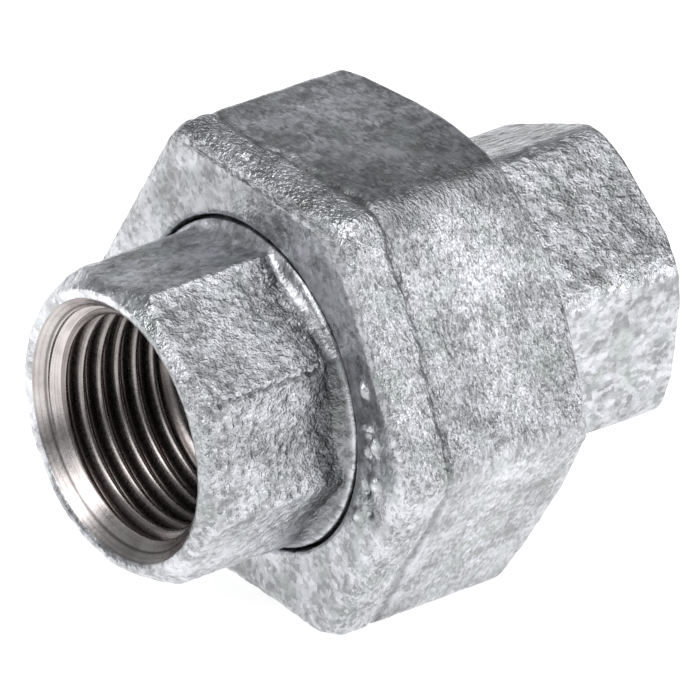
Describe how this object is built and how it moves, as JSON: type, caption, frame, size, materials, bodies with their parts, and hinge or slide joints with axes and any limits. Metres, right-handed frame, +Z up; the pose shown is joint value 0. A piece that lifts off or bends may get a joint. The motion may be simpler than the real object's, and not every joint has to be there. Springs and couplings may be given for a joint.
{
  "type": "pipe union",
  "caption": "Straight pipe union with two internally threaded ends, joined by a swivelling hexagon union nut on a flat gasket.",
  "frame": {"origin": "on the pipe axis, halfway between the two mouths", "axes": "+X along the pipe axis from the tail piece's mouth to the threaded body's mouth, +Z up from the nut's lower flat"},
  "size_m": [0.0496, 0.0452, 0.0394],
  "materials": {
    "galvanised_iron": "hot-dip galvanised, rough cast",
    "machined_iron": "bare machined",
    "gasket_rubber": "matte"
  },
  "bodies": {
    "body": {"threaded_body": "galvanised_iron"},
    "gasket": {"flat_gasket": "gasket_rubber"},
    "nut": {"union_nut": "galvanised_iron"},
    "tail": {"tail_piece": "galvanised_iron"}
  },
  "joints": [
    {"name": "gasket_slide", "type": "slide", "parent": "body", "child": "gasket", "axis": [-1, 0, 0], "range_m": [0, 0.0105]},
    {"name": "nut_turn", "type": "hinge", "parent": "gasket", "child": "nut", "pos_m": [0, 0, 0], "axis": [-1, 0, 0], "range_deg": [0, 2520]},
    {"name": "tail_swivel", "type": "hinge", "parent": "gasket", "child": "tail", "pos_m": [0, 0, 0], "axis": [-1, 0, 0], "continuous": true}
  ],
  "couplings": [
    {"joint": "nut_turn", "follows": "gasket_slide", "rad_per_m": 4188.8}
  ]
}
